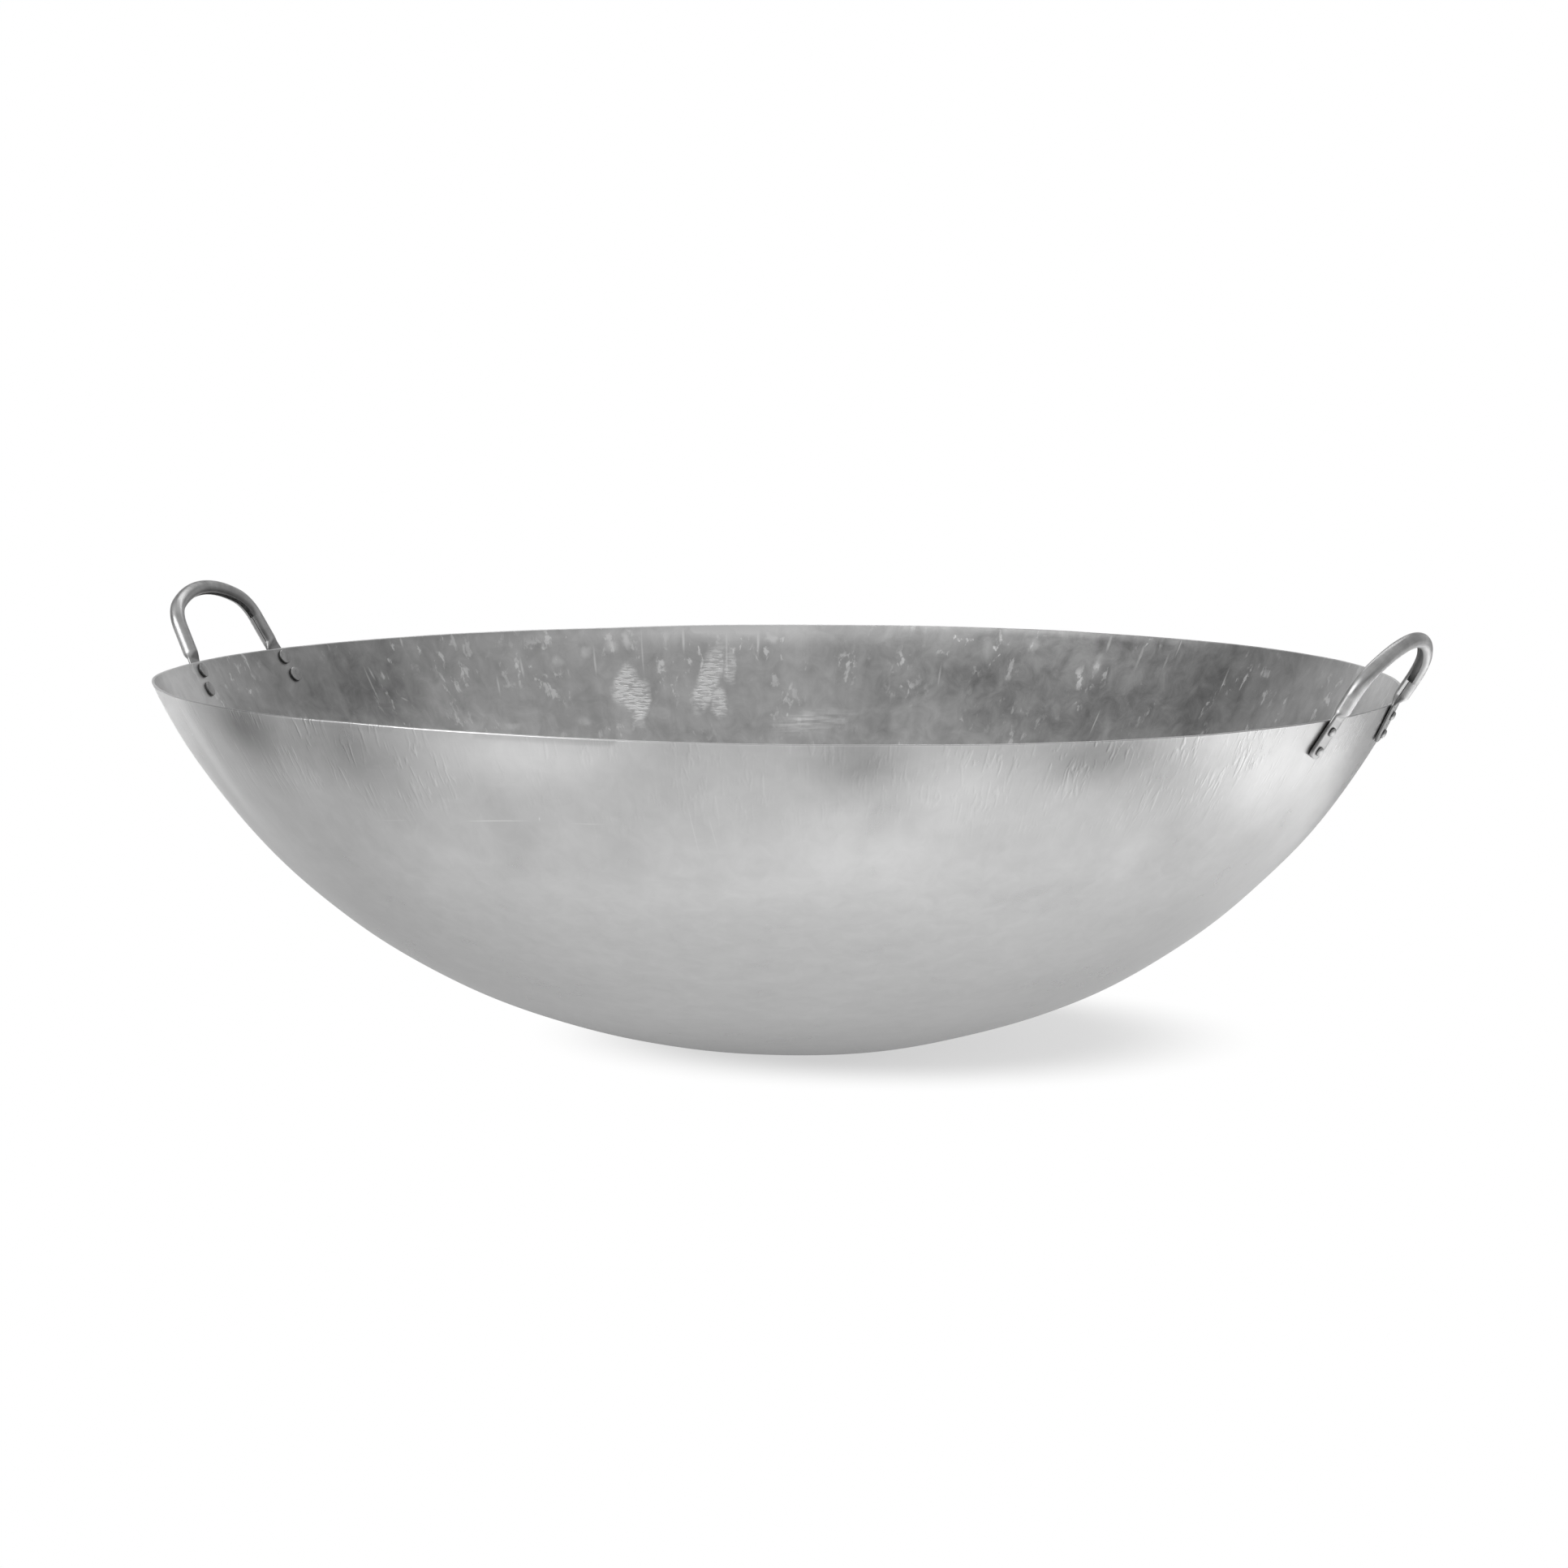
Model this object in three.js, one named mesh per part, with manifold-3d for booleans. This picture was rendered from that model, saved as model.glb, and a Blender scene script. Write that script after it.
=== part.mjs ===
// A large round-bottomed wok: one beaten steel bowl with two loop handles. Each handle is rolled from
// sheet steel into a tube, left open along the inside of the grip, pressed flat at both feet and held
// to the outside of the wall by two rivets in each foot.
// Millimetres, +Z up. The origin lies under the middle of the bowl on the surface that it stands on,
// and the handles lie along X.

import * as THREE from "three";
import { mergeVertices } from "three/addons/utils/BufferGeometryUtils.js";
import Module from "manifold-3d";

// Bowl
const RIM_DIAMETER = 914; // over the outer edge, a 36 inch wok
const DEPTH = 270; // from the standing surface to the rim
const WALL = 1.8; // 15 gauge sheet
const BASE_FLAT_DIAMETER = 72; // the small flat that beating leaves under the middle
const BOTTOM_RADIUS = 570; // outer radius of the shallow bottom curve
const KNUCKLE_DIAMETER = 360; // where the bottom curve runs into the tighter side curve

// Handles
const HANDLE_SPAN = 123; // between the legs' centrelines at the rim
const HANDLE_RISE = 63; // from the rim to the grip's centreline, along the loop's slope
const HANDLE_LEAN = THREE.MathUtils.degToRad(3); // the loop leans out from its feet by this
const GRIP_RADIUS = 97; // bow of the grip
const CORNER_RADIUS = 30; // bend between a leg and the grip
const LEG_SPLAY = THREE.MathUtils.degToRad(1); // each leg leans inwards by this on its way up
const FOOT_SPLAY = THREE.MathUtils.degToRad(13); // and each foot spreads by this on its way down
const TUBE_DIAMETER = 10;
const TUBE_WALL = 1.5;
const GRIP_SLOT = 4.6; // opening along the inside of the grip
const SEAM = 0.5; // gap between the sheet's two edges along a leg
const FOOT_LENGTH = 33;
const FOOT_RISE = 2; // how far a foot's flat stands above the rim
const FOOT_WIDTH = 16;
const FOOT_CORNER = 5; // rounding of a foot's lower corners
const FLATTENING = 7; // length over which the tube is pressed flat, above a foot

// Rivets
const RIVET_DROP = 8.5; // from the rim to the upper rivet
const RIVET_PITCH = 16;
const SHANK_DIAMETER = 4.6;
const INNER_HEAD_DIAMETER = 11.4; // broad and low, inside the bowl
const INNER_HEAD_HEIGHT = 1.7;
const INNER_HEAD_EDGE = 0.8; // upright edge below the head's dome
const OUTER_HEAD_DIAMETER = 7; // closed over the foot
const OUTER_HEAD_HEIGHT = 2.1;
const OUTER_HEAD_EDGE = 0.6;

// Clearances
const SEAT = 0.3; // between faces that bear on each other
const HOLE_PLAY = 0.25; // between a shank and its hole, all round
const DRILL_OVERRUN = 3; // a drilled hole's cutter passes both faces by this

// Facets
const BOWL_SIDES = 96;
const BOTTOM_STEPS = 4;
const SIDE_STEPS = 11;
const CORNER_STEPS = 5;
const GRIP_HALF_STEPS = 4;
const FOOT_END_STEPS = 3;
const TUBE_CORNER_POINTS = 4; // on a quarter of the tube's section
const BORE_CORNER_POINTS = 3; // on a quarter of the bore's section
const RIVET_SIDES = 16;
const RIVET_DOME_STEPS = 3;

const FOOT_THICKNESS = 2 * TUBE_WALL; // the pressed tube is two sheets thick
const FOOT_DROP = FOOT_LENGTH / 2 - FOOT_RISE; // from the rim to a foot's middle
const TUBE_RADIUS = TUBE_DIAMETER / 2;
const BORE_RADIUS = TUBE_RADIUS - TUBE_WALL;

const wasm = await Module();
wasm.setup();

// A closed geometry as a solid that can be joined and cut.
function solidOf(geometry) {
  const bare = geometry.clone();
  bare.deleteAttribute("normal");
  bare.deleteAttribute("uv");
  const merged = mergeVertices(bare);
  return new wasm.Manifold(
    new wasm.Mesh({
      numProp: 3,
      vertProperties: merged.attributes.position.array,
      triVerts: new Uint32Array(merged.index.array),
    }),
  );
}

function geometryOf(solid) {
  const mesh = solid.getMesh();
  const geometry = new THREE.BufferGeometry();
  geometry.setAttribute("position", new THREE.BufferAttribute(mesh.vertProperties, 3));
  geometry.setIndex(new THREE.BufferAttribute(mesh.triVerts, 1));
  geometry.computeVertexNormals();
  return geometry;
}

// The wall's meridian: a bottom arc about the axis, then a side arc that leaves it without a kink at
// the knuckle and ends at the rim. An arc's angle is the wall's slope there.
const baseRadius = BASE_FLAT_DIAMETER / 2;
const bottomArc = { r: 0, z: Math.sqrt(BOTTOM_RADIUS ** 2 - baseRadius ** 2), radius: BOTTOM_RADIUS };
const knuckleSlope = Math.asin(KNUCKLE_DIAMETER / 2 / BOTTOM_RADIUS);
const sideArc = sideArcToRim();
const rimSlope = Math.asin((RIM_DIAMETER / 2 - sideArc.r) / sideArc.radius);
// How far a facet's middle lies inside the true curve of the side.
const facetSag =
  (RIM_DIAMETER / 2) * (1 - Math.cos(Math.PI / BOWL_SIDES)) +
  sideArc.radius * (1 - Math.cos((rimSlope - knuckleSlope) / (2 * SIDE_STEPS)));

function arcPoint(arc, slope, inset = 0) {
  const radius = arc.radius - inset;
  return new THREE.Vector2(arc.r + radius * Math.sin(slope), arc.z - radius * Math.cos(slope));
}

function sideArcToRim() {
  const knuckle = arcPoint(bottomArc, knuckleSlope);
  const towardsCentre = new THREE.Vector2(-Math.sin(knuckleSlope), Math.cos(knuckleSlope));
  const chord = new THREE.Vector2(RIM_DIAMETER / 2, DEPTH).sub(knuckle);
  const radius = chord.lengthSq() / (2 * chord.dot(towardsCentre));
  const centre = knuckle.addScaledVector(towardsCentre, radius);
  return { r: centre.x, z: centre.y, radius };
}

// The points of an arc from one slope to another, without the first, on one skin of the wall.
function arcPoints(arc, from, to, steps, inset) {
  return Array.from({ length: steps }, (_, i) =>
    arcPoint(arc, from + ((to - from) * (i + 1)) / steps, inset),
  );
}

// One skin of the wall, from the axis out to the level of the rim.
function skin(inset) {
  const flatSlope = Math.acos((bottomArc.z - inset) / (bottomArc.radius - inset));
  const rimLevel = Math.acos((sideArc.z - DEPTH) / (sideArc.radius - inset));
  return [
    new THREE.Vector2(0, inset),
    arcPoint(bottomArc, flatSlope, inset),
    ...arcPoints(bottomArc, flatSlope, knuckleSlope, BOTTOM_STEPS, inset),
    ...arcPoints(sideArc, knuckleSlope, rimLevel, SIDE_STEPS, inset),
  ];
}

// Where a handle's foot lies on the wall. front is -1 for the foot at -Y and 1 for the one at +Y. Along
// the foot, up is 0 at its middle; out is square to the wall, and inwards points at the other foot.
function footFrame(front) {
  const slope = rimSlope - (FOOT_DROP * Math.cos(FOOT_SPLAY)) / sideArc.radius;
  const meridian = arcPoint(sideArc, slope);
  const y = front * (HANDLE_SPAN / 2 + FOOT_DROP * Math.sin(FOOT_SPLAY));
  const bearing = Math.asin(y / meridian.x);
  const cos = Math.cos(bearing);
  const sin = Math.sin(bearing);
  const origin = new THREE.Vector3(meridian.x * cos, meridian.x * sin, meridian.y);
  const out = new THREE.Vector3(Math.sin(slope) * cos, Math.sin(slope) * sin, -Math.cos(slope));
  const rise = Math.cos(FOOT_SPLAY);
  const lengthwise = new THREE.Vector3(
    Math.cos(slope) * rise,
    -front * Math.sin(FOOT_SPLAY),
    Math.sin(slope) * rise,
  );
  const up = lengthwise.addScaledVector(out, -lengthwise.dot(out)).normalize();
  const inwards = new THREE.Vector3().crossVectors(out, up).multiplyScalar(front);
  return { origin, out, up, inwards, slope };
}

const feet = { front: footFrame(-1), back: footFrame(1) };
const rivetRows = {
  upper: FOOT_DROP - RIVET_DROP,
  lower: FOOT_DROP - RIVET_DROP - RIVET_PITCH,
};

function onFoot(foot, up, out) {
  return foot.origin.clone().addScaledVector(foot.up, up).addScaledVector(foot.out, out);
}

// How far the wall falls away from the foot's plane at a point along it.
function wallDrop(foot, up) {
  const point = onFoot(foot, up, 0);
  const r = Math.hypot(point.x, point.y) - sideArc.r;
  return Math.hypot(r, point.z - sideArc.z) - sideArc.radius;
}

function alongOut(foot) {
  return new THREE.Quaternion().setFromUnitVectors(new THREE.Vector3(0, 1, 0), foot.out);
}

// A round cutter through the wall and a foot, at one rivet.
function rivetHole(foot, up) {
  const reach = Math.max(WALL, SEAT + FOOT_THICKNESS) + DRILL_OVERRUN;
  const radius = SHANK_DIAMETER / 2 + HOLE_PLAY;
  const cutter = new THREE.CylinderGeometry(radius, radius, 2 * reach, RIVET_SIDES);
  cutter.applyQuaternion(alongOut(foot));
  const centre = onFoot(foot, up, 0);
  return cutter.translate(centre.x, centre.y, centre.z);
}

const rivetHoles = Object.values(feet).flatMap((foot) =>
  Object.values(rivetRows).map((up) => rivetHole(foot, up)),
);

function bowl() {
  const profile = [...skin(0), ...skin(WALL).reverse()];
  let solid = solidOf(new THREE.LatheGeometry(profile, BOWL_SIDES).rotateX(Math.PI / 2));
  for (const turn of [0, Math.PI]) {
    for (const hole of rivetHoles) {
      solid = solid.subtract(solidOf(hole.clone().rotateZ(turn)));
    }
  }
  return geometryOf(solid);
}

// A rectangle about a station's centre with rounded corners, as a ring of points. Its half sizes run
// along the station's inwards and out directions, and a circle is one whose half sizes equal its
// rounding. Shift moves it inwards, and each corner has as many points as cornerPoints says.
function ring(station, halfWidth, halfThickness, rounding, cornerPoints, shift = 0) {
  const corners = [
    [1, 1],
    [-1, 1],
    [-1, -1],
    [1, -1],
  ];
  const tip = rounding / Math.cos(Math.PI / (4 * cornerPoints));
  return corners.flatMap(([sideways, outwards], quarter) =>
    Array.from({ length: cornerPoints }, (_, i) => {
      const angle = (quarter + (i + 0.5) / cornerPoints) * (Math.PI / 2);
      const x = shift + sideways * (halfWidth - rounding) + tip * Math.cos(angle);
      const y = outwards * (halfThickness - rounding) + tip * Math.sin(angle);
      return station.centre
        .clone()
        .addScaledVector(station.inwards, x)
        .addScaledVector(station.out, y);
    }),
  );
}

// A solid skinned over rings that follow one another, with a flat cap at each end.
function loft(rings) {
  const count = rings[0].length;
  const last = (rings.length - 1) * count;
  const index = [];
  for (let start = 0; start < last; start += count) {
    for (let i = 0; i < count; i += 1) {
      const a = start + i;
      const b = start + ((i + 1) % count);
      index.push(a, a + count, b, b, a + count, b + count);
    }
  }
  for (let i = 1; i < count - 1; i += 1) {
    index.push(0, i, i + 1);
    index.push(last, last + i + 1, last + i);
  }
  const geometry = new THREE.BufferGeometry().setFromPoints(rings.flat());
  return geometry.setIndex(index);
}

// The loop's centreline in its own plane, from the front leg over the grip to the back leg. w runs
// along Y and u up the slope from the rim. Each point carries the direction to the loop's inside.
function loopPath() {
  const rim = onFoot(feet.back, FOOT_DROP, SEAT + FOOT_THICKNESS / 2);
  const slope = feet.back.slope - HANDLE_LEAN;
  const up = new THREE.Vector3(Math.cos(slope), 0, Math.sin(slope));
  const out = new THREE.Vector3(Math.sin(slope), 0, -Math.cos(slope));
  const leg = new THREE.Vector2(-Math.sin(LEG_SPLAY), Math.cos(LEG_SPLAY));
  const inside = new THREE.Vector2(-leg.y, leg.x);
  const legFoot = new THREE.Vector2(rim.y, 0);
  const gripCentre = new THREE.Vector2(0, HANDLE_RISE - GRIP_RADIUS);

  // The bend's centre lies a bend radius inside the leg and touches the grip's arc from within.
  const from = legFoot.clone().addScaledVector(inside, CORNER_RADIUS).sub(gripCentre);
  const reach = (GRIP_RADIUS - CORNER_RADIUS) ** 2 - from.lengthSq() + from.dot(leg) ** 2;
  const legLength = Math.sqrt(reach) - from.dot(leg);
  const cornerCentre = legFoot
    .clone()
    .addScaledVector(inside, CORNER_RADIUS)
    .addScaledVector(leg, legLength);
  const gripEnd = cornerCentre.clone().sub(gripCentre).angle();

  const half = [];
  const addArc = (centre, radius, start, end, steps, first) => {
    for (let i = first; i <= steps; i += 1) {
      const angle = start + ((end - start) * i) / steps;
      const ray = new THREE.Vector2(Math.cos(angle), Math.sin(angle));
      half.push({ at: centre.clone().addScaledVector(ray, radius), inwards: ray.negate() });
    }
  };
  half.push({ at: legFoot.clone().addScaledVector(leg, FOOT_RISE + FLATTENING), inwards: inside });
  addArc(cornerCentre, CORNER_RADIUS, LEG_SPLAY, gripEnd, CORNER_STEPS, 0);
  addArc(gripCentre, GRIP_RADIUS, gripEnd, Math.PI / 2, GRIP_HALF_STEPS, 1);

  const place = ({ at, inwards }, side) => ({
    centre: new THREE.Vector3(rim.x, side * at.x, rim.z).addScaledVector(up, at.y),
    inwards: new THREE.Vector3(0, side * inwards.x, 0).addScaledVector(up, inwards.y),
    out,
  });
  const front = half.map((point) => place(point, -1));
  const back = half.slice(0, -1).map((point) => place(point, 1));
  return [...front, ...back.reverse()];
}

function footStation(foot, up) {
  const centre = onFoot(foot, up, SEAT + FOOT_THICKNESS / 2);
  return { centre, inwards: foot.inwards, out: foot.out };
}

// The tube's bore where the press closes it, at the top of a foot.
function pressedBore(foot) {
  const station = footStation(foot, FOOT_LENGTH / 2);
  return ring(station, FOOT_WIDTH / 2 - FOOT_THICKNESS, SEAM / 2, SEAM / 2, BORE_CORNER_POINTS);
}

// The rings of a pressed foot, from its rounded end up to the rim.
function footRings(foot) {
  const half = FOOT_WIDTH / 2;
  const rows = Array.from({ length: FOOT_END_STEPS + 1 }, (_, i) => {
    const angle = (Math.PI / 2) * (i / FOOT_END_STEPS);
    const narrowing = FOOT_CORNER * (1 - Math.sin(angle));
    return { up: -FOOT_LENGTH / 2 + FOOT_CORNER * (1 - Math.cos(angle)), half: half - narrowing };
  });
  rows.push({ up: FOOT_LENGTH / 2, half });
  const edge = FOOT_THICKNESS / 2;
  return rows.map((row) =>
    ring(footStation(foot, row.up), row.half, edge, edge, TUBE_CORNER_POINTS),
  );
}

function handle() {
  const loop = loopPath();
  const circles = (radius, cornerPoints) =>
    loop.map((station) => ring(station, radius, radius, radius, cornerPoints));
  const tube = loft([
    ...footRings(feet.front),
    ...circles(TUBE_RADIUS, TUBE_CORNER_POINTS),
    ...footRings(feet.back).reverse(),
  ]);
  const bore = loft([
    pressedBore(feet.front),
    ...circles(BORE_RADIUS, BORE_CORNER_POINTS),
    pressedBore(feet.back),
  ]);

  // The cut along the inside of the loop, from the tube's axis out: wide over the bends and the grip,
  // with a seam down each leg that runs on into the wide part.
  const slot = (stations, width) =>
    loft(stations.map((station) => ring(station, TUBE_RADIUS, width / 2, 0, 1, TUBE_RADIUS)));
  const frontLeg = loop.slice(0, 3);
  const backLeg = loop.slice(-3);
  const cuts = [
    bore,
    slot(loop.slice(1, -1), GRIP_SLOT),
    slot(frontLeg, SEAM),
    slot(backLeg, SEAM),
    ...rivetHoles,
  ];
  return geometryOf(cuts.reduce((solid, cut) => solid.subtract(solidOf(cut)), solidOf(tube)));
}

// A rivet about its own Y axis, which points out of the bowl: the broad head lies inside the bowl and
// the small one is closed over the foot. Height 0 is the plane of the foot's seat on the wall.
function rivet(drop) {
  const shank = SHANK_DIAMETER / 2;
  const innerSeat = -drop - WALL - facetSag - SEAT;
  const outerSeat = FOOT_THICKNESS + 2 * SEAT;
  const innerTop = innerSeat - INNER_HEAD_HEIGHT;
  const outerTop = outerSeat + OUTER_HEAD_HEIGHT;
  const inner = INNER_HEAD_DIAMETER / 2;
  const outer = OUTER_HEAD_DIAMETER / 2;
  const profile = new THREE.Path();
  profile.moveTo(0, innerTop);
  profile.quadraticCurveTo(inner, innerTop, inner, innerSeat - INNER_HEAD_EDGE);
  profile.lineTo(inner, innerSeat);
  profile.lineTo(shank, innerSeat);
  profile.lineTo(shank, outerSeat);
  profile.lineTo(outer, outerSeat);
  profile.lineTo(outer, outerSeat + OUTER_HEAD_EDGE);
  profile.quadraticCurveTo(outer, outerTop, 0, outerTop);
  return new THREE.LatheGeometry(profile.getPoints(RIVET_DOME_STEPS), RIVET_SIDES);
}

const bowlSteel = { color: 0xb2b2b1, roughness: 0.42, metalness: 1 };
const handleSteel = { color: 0x9c9c9b, roughness: 0.3, metalness: 1 };
const rivetSteel = { color: 0xa8a8a6, roughness: 0.35, metalness: 1 };

function named(geometry, finish, name) {
  const mesh = new THREE.Mesh(geometry, new THREE.MeshStandardMaterial(finish));
  mesh.name = name;
  return mesh;
}

// A handle with its four rivets, as it lies on the +X side of the bowl. Its feet come under the names
// that they have on the finished wok.
function handleSet(side, namedFeet) {
  const group = new THREE.Group();
  group.add(named(handle(), handleSteel, `handle_${side}`));
  for (const [footName, foot] of Object.entries(namedFeet)) {
    for (const [row, up] of Object.entries(rivetRows)) {
      const name = `rivet_${side}_${footName}_${row}`;
      const piece = named(rivet(wallDrop(foot, up)), rivetSteel, name);
      piece.position.copy(onFoot(foot, up, 0));
      piece.quaternion.copy(alongOut(foot));
      group.add(piece);
    }
  }
  return group;
}

const wok = new THREE.Group();
wok.add(named(bowl(), bowlSteel, "bowl"));
wok.add(handleSet("right", feet));
const leftSet = handleSet("left", { front: feet.back, back: feet.front });
leftSet.rotation.z = Math.PI; // which brings its back foot to the front
wok.add(leftSet);

export default wok;
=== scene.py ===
# Looks of a large round-bottomed wok: a bowl beaten from carbon steel sheet, with two loop handles rolled
# from sheet and riveted to the outside of its wall.
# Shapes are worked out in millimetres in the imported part's frame: +Z up, the handles along X.

import math

import bpy
import numpy as np
from mathutils import Matrix, Vector


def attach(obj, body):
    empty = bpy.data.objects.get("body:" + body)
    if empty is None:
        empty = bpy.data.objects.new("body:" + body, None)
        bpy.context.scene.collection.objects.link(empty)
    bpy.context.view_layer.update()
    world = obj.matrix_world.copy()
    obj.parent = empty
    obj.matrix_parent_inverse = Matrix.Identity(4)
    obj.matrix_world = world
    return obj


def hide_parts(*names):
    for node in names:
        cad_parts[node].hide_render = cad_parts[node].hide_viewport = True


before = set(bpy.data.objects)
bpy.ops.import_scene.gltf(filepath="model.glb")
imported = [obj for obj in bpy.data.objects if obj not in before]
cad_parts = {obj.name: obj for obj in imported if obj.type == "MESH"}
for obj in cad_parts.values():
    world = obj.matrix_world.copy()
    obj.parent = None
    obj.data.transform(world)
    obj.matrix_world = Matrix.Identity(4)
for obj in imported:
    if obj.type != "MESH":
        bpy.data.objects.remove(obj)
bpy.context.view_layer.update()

MM = 0.001

# Bowl, as in the part
RIM_DIAMETER = 914.0
DEPTH = 270.0
WALL = 1.8
BASE_FLAT_DIAMETER = 72.0
BOTTOM_RADIUS = 570.0
KNUCKLE_DIAMETER = 360.0

# Handles, as in the part
HANDLE_SPAN = 123.0
FOOT_SPLAY = math.radians(13)
TUBE_WALL = 1.5
SEAM = 0.5
FOOT_LENGTH = 33.0
FOOT_RISE = 2.0
FOOT_WIDTH = 16.0
FOOT_CORNER = 5.0
FLATTENING = 7.0
FOOT_THICKNESS = 2 * TUBE_WALL
FOOT_DROP = FOOT_LENGTH / 2 - FOOT_RISE

# The loops were bent by hand, and in the photograph they differ by some millimetres. The part has their
# mean bend, on a tube 1 mm thinner. The slot is the gap under the grip.
TUBE_RADIUS = 5.5
BENDS = {
    "right": {
        "rise": 63.1,
        "lean": math.radians(5.4),
        "splay": math.radians(-3.8),
        "corner": 27.8,
        "grip": 84.7,
        "slot": 4.6,
    },
    "left": {
        "rise": 58.9,
        "lean": math.radians(1.2),
        "splay": math.radians(8.3),
        "corner": 25.0,
        "grip": 97.8,
        "slot": 3.4,
    },
}

# Rivets, as in the part but for inner heads 0.6 mm higher. The sheets they go through aren't drilled here.
RIVET_ROWS = {"upper": 8.5, "lower": 24.5}  # from the rim, down the foot
SHANK_DIAMETER = 4.6
INNER_HEAD = {"diameter": 11.4, "height": 2.3, "edge": 1.6}
OUTER_HEAD = {"diameter": 7.0, "height": 2.1, "edge": 0.6}
SEAT = 0.3

# How far this bowl is from true
RIM_LIFT = 4.3  # the rim stands higher between the handles
RIM_LIFT_BEARING = math.radians(-17)  # where it doesn't rise
BELLY_SHIFT = 9.2  # the bottom lies off the rim's centre
RIM_EDGE = 0.8  # filed edges of the rim
OUT_OF_ROUND = np.array([1.0055, 1, 1])  # all of it is a little longer between the handles

# View
VIEW_BEARING = math.radians(24.6)  # the camera stands this far round from -Y
VIEW_ELEVATION = math.radians(7.1)
VIEW_DISTANCE = 4.664
VIEW_AIM = 0.140  # height of the point that the camera turns about
VIEW_PITCH = math.radians(0.664)
VIEW_YAW = math.radians(0.063)
VIEW_ROLL = math.radians(0.339)
LENS = 145.1

rng = np.random.default_rng(36)


def linear(hex_colour):
    """An sRGB hex value as linear RGBA: below 0.04045 a straight line, above it a power of 2.4."""
    srgb = np.array([int(hex_colour[i : i + 2], 16) for i in (1, 3, 5)]) / 255
    rgb = np.where(srgb <= 0.04045, srgb / 12.92, ((srgb + 0.055) / 1.055) ** 2.4)
    return (*rgb.tolist(), 1.0)


def smoothstep(low, high, value):
    """0 below low, 1 above high, and the cubic 3t^2 - 2t^3 between them."""
    t = np.clip((value - low) / (high - low), 0, 1)
    return t * t * (3 - 2 * t)


def unit(vector):
    return vector / np.linalg.norm(vector, axis=-1, keepdims=True)


# Surfaces
def grid_faces(rows, columns):
    """Quads between neighbouring rows of a grid whose columns close on themselves."""
    first = np.arange(rows - 1)[:, None] * columns + np.arange(columns)[None, :]
    second = np.arange(rows - 1)[:, None] * columns + (np.arange(columns)[None, :] + 1) % columns
    return np.stack([first, second, second + columns, first + columns], axis=-1).reshape(-1, 4)


def fan_faces(ring_start, columns, centre, outwards):
    """Triangles from a ring of points to one centre point, closing a pole."""
    a = ring_start + np.arange(columns)
    b = ring_start + (np.arange(columns) + 1) % columns
    hub = np.full(columns, centre)
    return np.stack([a, b, hub] if outwards else [b, a, hub], axis=-1)


def strip_faces(ring_start, columns, outwards):
    """Quads across the cut end of a bent sheet, from its outer skin's points to its inner skin's."""
    half = columns // 2
    i = np.arange(half - 1)
    quads = ring_start + np.stack([i, i + 1, columns - 2 - i, columns - 1 - i], axis=-1)
    return quads if outwards else quads[:, ::-1]


def piece(name, points, faces, material, replaced, crease=40):
    """A mesh object from points in millimetres, smooth but for edges that turn by more than the crease."""
    mesh = bpy.data.meshes.new(name)
    points = points * OUT_OF_ROUND * MM
    mesh.from_pydata(points.tolist(), [], [f for block in faces for f in block.tolist()])
    mesh.shade_smooth()
    mesh.set_sharp_from_angle(angle=math.radians(crease))
    mesh.materials.append(material)
    made = bpy.data.objects.new(name, mesh)
    bpy.context.collection.objects.link(made)
    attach(made, "root")
    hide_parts(replaced)
    return made


def point_attribute(made, name, values):
    """Stores one number or one vector for each vertex, for the material to read."""
    kind, field = ("FLOAT_VECTOR", "vector") if values.ndim == 2 else ("FLOAT", "value")
    attribute = made.data.attributes.new(name, kind, "POINT")
    attribute.data.foreach_set(field, values.astype(np.float32).ravel())


# Wall
BOTTOM_HEIGHT = math.sqrt(BOTTOM_RADIUS**2 - (BASE_FLAT_DIAMETER / 2) ** 2)
KNUCKLE_SLOPE = math.asin(KNUCKLE_DIAMETER / 2 / BOTTOM_RADIUS)


def side_arc():
    """Centre and radius of the side's arc: it leaves the bottom arc without a kink and ends at the rim."""
    normal = np.array([math.sin(KNUCKLE_SLOPE), -math.cos(KNUCKLE_SLOPE)])
    knuckle = np.array([0, BOTTOM_HEIGHT]) + BOTTOM_RADIUS * normal
    chord = np.array([RIM_DIAMETER / 2, DEPTH]) - knuckle
    radius = chord @ chord / (-2 * chord @ normal)
    return *(knuckle - radius * normal), radius


SIDE_R, SIDE_Z, SIDE_RADIUS = side_arc()
RIM_SLOPE = math.asin((RIM_DIAMETER / 2 - SIDE_R) / SIDE_RADIUS)


def meridian(slope, inset):
    """Radius and height of one skin of the wall at a slope: a point of the bottom arc or the side arc,
    drawn in by the inset, and never lower than the small flat that the bowl stands on."""
    side = slope > KNUCKLE_SLOPE
    radius = np.where(side, SIDE_RADIUS, BOTTOM_RADIUS) - inset
    r = np.where(side, SIDE_R, 0) + radius * np.sin(slope)
    z = np.where(side, SIDE_Z, BOTTOM_HEIGHT) - radius * np.cos(slope)
    return r, np.maximum(z, inset)


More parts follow.
